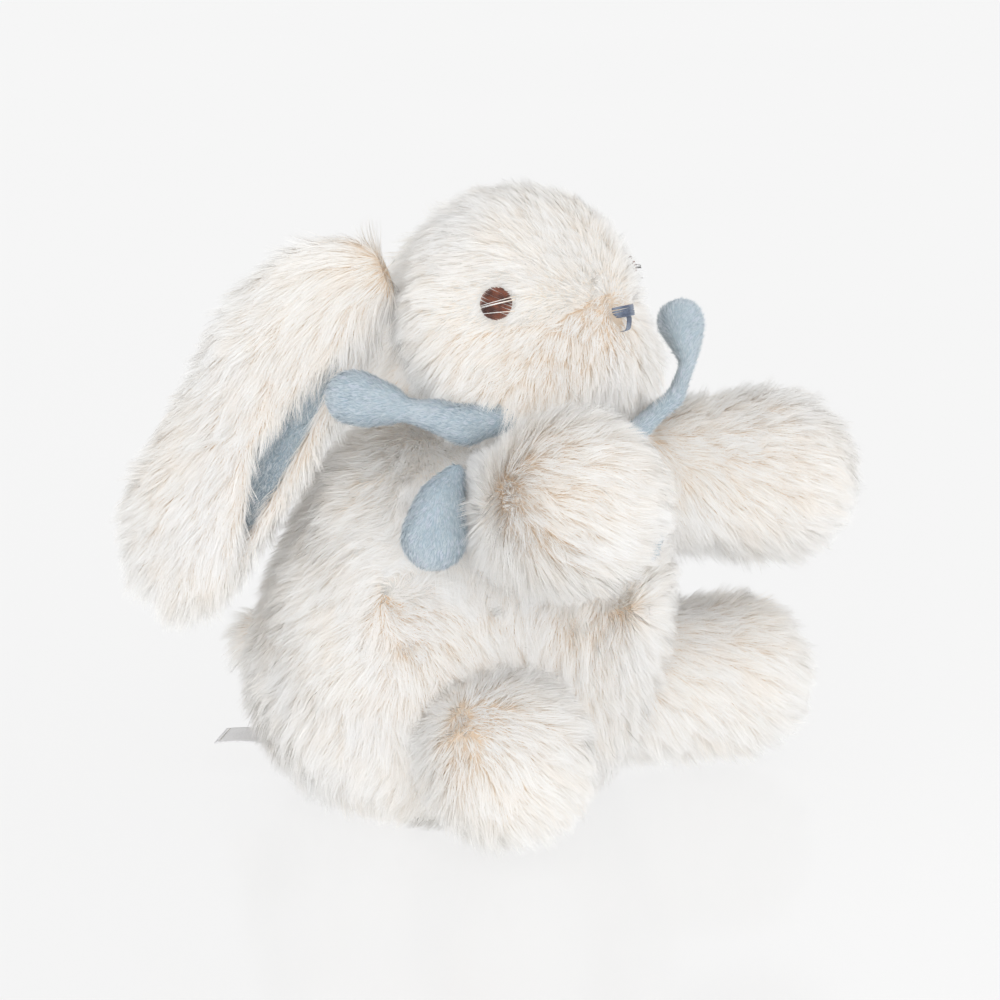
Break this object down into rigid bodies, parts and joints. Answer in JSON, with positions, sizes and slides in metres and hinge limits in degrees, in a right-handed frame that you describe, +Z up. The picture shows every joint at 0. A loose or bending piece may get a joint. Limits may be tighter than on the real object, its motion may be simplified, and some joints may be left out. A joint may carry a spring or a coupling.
{
  "type": "stuffed bunny rabbit",
  "caption": "Seated long-pile plush bunny with drooping blue-lined ears, round weighted body, stubby arms and legs, fluffy tail and a plush neck bow.",
  "frame": {"origin": "on the floor, on the flat seat under the middle of the body", "axes": "+Z up; the bunny faces -Y; its right side is -X"},
  "size_m": [0.141, 0.1553, 0.162],
  "materials": {
    "fur": "long-pile off-white plush",
    "ear_lining": "short-pile pale blue plush",
    "ribbon": "short-pile pale blue plush",
    "stuffing": "loose polyester fibre fill",
    "beans": "woven pouch of plastic beans",
    "eye_thread": "dark brown satin stitch",
    "nose_thread": "pale blue-lavender satin stitch",
    "seam_thread": "cream sewing thread",
    "label": "white satin tape, blank"
  },
  "bodies": {
    "torso": {"body_skin": "fur", "body_stuffing": "stuffing", "bean_pouch": "beans", "closing_seam": "seam_thread"},
    "collar": {"neck_ribbon": "ribbon", "bow_knot": "ribbon", "bow_loop_right": "ribbon", "bow_loop_left": "ribbon"},
    "head": {"head_skin": "fur", "head_stuffing": "stuffing", "eye_right": "eye_thread", "eye_left": "eye_thread", "nose": "nose_thread"},
    "tail": {"tail_skin": "fur", "tail_stuffing": "stuffing"},
    "label": {"care_label": "label"},
    "ear_right": {"ear_right": "fur", "ear_lining_right": "ear_lining"},
    "arm_right": {"arm_skin_right": "fur", "arm_stuffing_right": "stuffing"},
    "leg_right": {"leg_skin_right": "fur", "leg_stuffing_right": "stuffing"},
    "bow_tail_right": {"bow_tail_right": "ribbon"},
    "ear_left": {"ear_left": "fur", "ear_lining_left": "ear_lining"},
    "arm_left": {"arm_skin_left": "fur", "arm_stuffing_left": "stuffing"},
    "leg_left": {"leg_skin_left": "fur", "leg_stuffing_left": "stuffing"},
    "bow_tail_left": {"bow_tail_left": "ribbon"}
  },
  "joints": [
    {"name": "head_turn", "type": "hinge", "parent": "torso", "child": "collar", "pos_m": [0, -0.015, 0.1], "axis": [0, 0, 1], "range_deg": [-3, 3], "stiffness_Nm_per_rad": 0.08},
    {"name": "head_nod", "type": "hinge", "parent": "collar", "child": "head", "pos_m": [0, -0.015, 0.1], "axis": [1, 0, 0], "range_deg": [-8, 3], "stiffness_Nm_per_rad": 0.6},
    {"name": "tail_wag", "type": "hinge", "parent": "torso", "child": "tail", "pos_m": [0, 0.054, 0.031], "axis": [0, 0, 1], "range_deg": [-10, 10], "stiffness_Nm_per_rad": 0.01},
    {"name": "label_flap", "type": "hinge", "parent": "torso", "child": "label", "pos_m": [-0.0222, 0.0432, 0.012], "axis": [0.9272, 0.3746, 0], "range_deg": [-20, 30], "stiffness_Nm_per_rad": 0.0008},
    {"name": "ear_lift_right", "type": "hinge", "parent": "head", "child": "ear_right", "pos_m": [-0.023, 0.003, 0.141], "axis": [0.9404, 0.3401, 0], "range_deg": [0, 60]},
    {"name": "arm_raise_right", "type": "hinge", "parent": "torso", "child": "arm_right", "pos_m": [-0.025, -0.037, 0.084], "axis": [-0.8269, 0.5623, 0], "range_deg": [-10, 6], "stiffness_Nm_per_rad": 0.03},
    {"name": "leg_raise_right", "type": "hinge", "parent": "torso", "child": "leg_right", "pos_m": [-0.03, -0.031, 0.027], "axis": [-0.6805, 0.7328, 0], "range_deg": [0, 12], "stiffness_Nm_per_rad": 0.04},
    {"name": "ear_lift_left", "type": "hinge", "parent": "head", "child": "ear_left", "pos_m": [0.023, 0.003, 0.141], "axis": [0.9404, -0.3401, 0], "range_deg": [0, 60]},
    {"name": "arm_raise_left", "type": "hinge", "parent": "torso", "child": "arm_left", "pos_m": [0.032, -0.036, 0.084], "axis": [-0.722, -0.6919, 0], "range_deg": [-10, 6], "stiffness_Nm_per_rad": 0.03},
    {"name": "leg_raise_left", "type": "hinge", "parent": "torso", "child": "leg_left", "pos_m": [0.036, -0.031, 0.026], "axis": [-0.5882, -0.8087, 0], "range_deg": [0, 12], "stiffness_Nm_per_rad": 0.04},
    {"name": "bow_tail_swing_right", "type": "hinge", "parent": "collar", "child": "bow_tail_right", "pos_m": [-0.044, -0.029, 0.097], "axis": [0, 1, 0], "range_deg": [0, 30]},
    {"name": "bow_tail_swing_left", "type": "hinge", "parent": "collar", "child": "bow_tail_left", "pos_m": [-0.001, -0.053, 0.09], "axis": [-1, 0, 0], "range_deg": [0, 30]}
  ]
}
